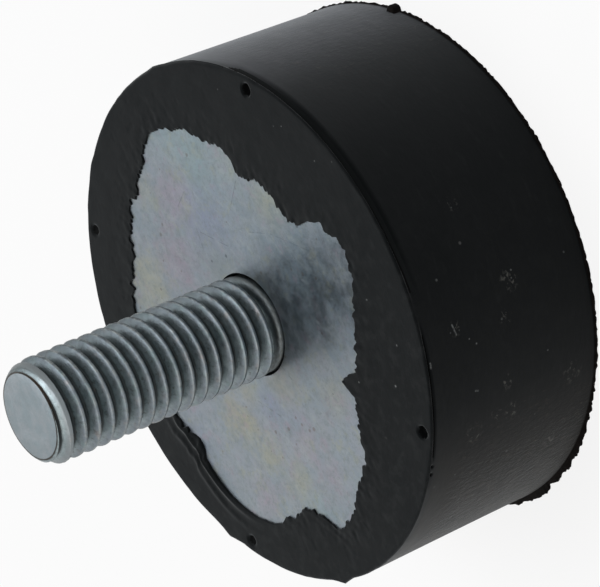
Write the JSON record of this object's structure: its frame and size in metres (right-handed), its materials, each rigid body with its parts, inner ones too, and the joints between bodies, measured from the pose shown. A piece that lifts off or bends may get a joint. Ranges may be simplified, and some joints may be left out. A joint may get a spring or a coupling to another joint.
{
  "type": "bobbin vibration mount",
  "caption": "Cylindrical rubber anti-vibration mount with a steel plate bonded into each end, a threaded stud at the front and a tapped bush at the rear.",
  "frame": {"origin": "centre of the rear face of the rubber block, where it stands", "axes": "+Z along the stud, out of the front face; X and Y lie in the rear face"},
  "size_m": [0.0518, 0.0514, 0.045],
  "materials": {
    "rubber": "satin black, lightly scuffed",
    "zinc_plate": "clear blue zinc plate, satin",
    "zinc_stud": "clear blue zinc plate, satin",
    "zinc_bush": "clear blue zinc plate, satin"
  },
  "bodies": {
    "root": {"rubber_body": "rubber", "front_plate": "zinc_plate", "stud": "zinc_stud", "rear_plate": "zinc_plate", "tapped_bush": "zinc_bush"}
  },
  "joints": []
}
